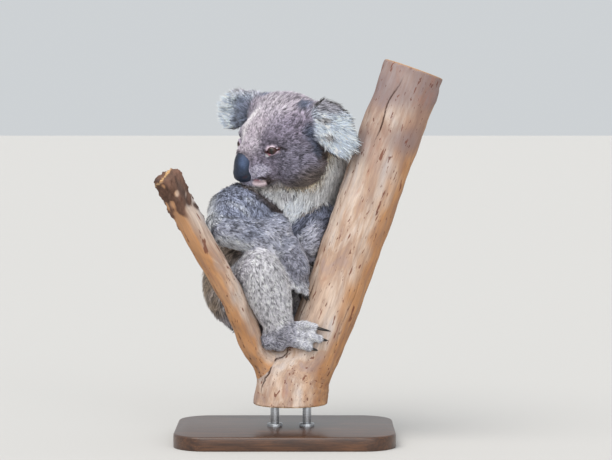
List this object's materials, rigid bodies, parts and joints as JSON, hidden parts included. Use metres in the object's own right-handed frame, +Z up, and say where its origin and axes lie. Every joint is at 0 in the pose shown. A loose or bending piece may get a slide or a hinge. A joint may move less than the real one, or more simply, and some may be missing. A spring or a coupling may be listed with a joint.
{
  "type": "koala model",
  "caption": "Life-size koala sitting in the fork of a gum tree, one arm round the trunk, head turned over its shoulder, on a flat stand with two short rods",
  "frame": {"origin": "middle of the stand base's underside", "axes": "+Z up; the trunk leans towards +X; the koala's right side and its face are towards -Y, with its nose pointing between -X and -Y"},
  "size_m": [0.3833, 0.2703, 0.5228],
  "materials": {
    "coat": "dense woolly fur, mauve-grey with a pale grizzle, white on the chest, neck and ear fringes",
    "nose": "bare leathery nose pad, blue-black with a dull shine",
    "eye": "dark reddish-brown eye, wet and glossy",
    "claw": "dark horn, lightly polished by use",
    "bark": "smooth gum bark, cream and tan with brown flecks and cracks, sawn ends",
    "stand_base": "dark stained wood, satin",
    "stand_rod": "brushed stainless steel"
  },
  "bodies": {
    "root": {"head": "coat", "neck": "coat", "torso": "coat", "ear_left": "coat", "ear_right": "coat", "upper_arm_left": "coat", "upper_arm_right": "coat", "forearm_left": "coat", "forearm_right": "coat", "hand_left": "coat", "hand_right": "coat", "thigh_left": "coat", "thigh_right": "coat", "shank_left": "coat", "shank_right": "coat", "foot_left": "coat", "foot_right": "coat", "nose": "nose", "eye_left": "eye", "eye_right": "eye", "claw_hand_left_1": "claw", "claw_hand_left_2": "claw", "claw_hand_left_3": "claw", "claw_hand_left_4": "claw", "claw_hand_left_5": "claw", "claw_hand_right_1": "claw", "claw_hand_right_2": "claw", "claw_hand_right_3": "claw", "claw_hand_right_4": "claw", "claw_hand_right_5": "claw", "claw_foot_left_1": "claw", "claw_foot_left_2": "claw", "claw_foot_left_3": "claw", "claw_foot_right_1": "claw", "claw_foot_right_2": "claw", "claw_foot_right_3": "claw", "perch_trunk": "bark", "perch_limb": "bark", "stand_base": "stand_base", "stand_rod_left": "stand_rod", "stand_rod_right": "stand_rod"}
  },
  "joints": []
}
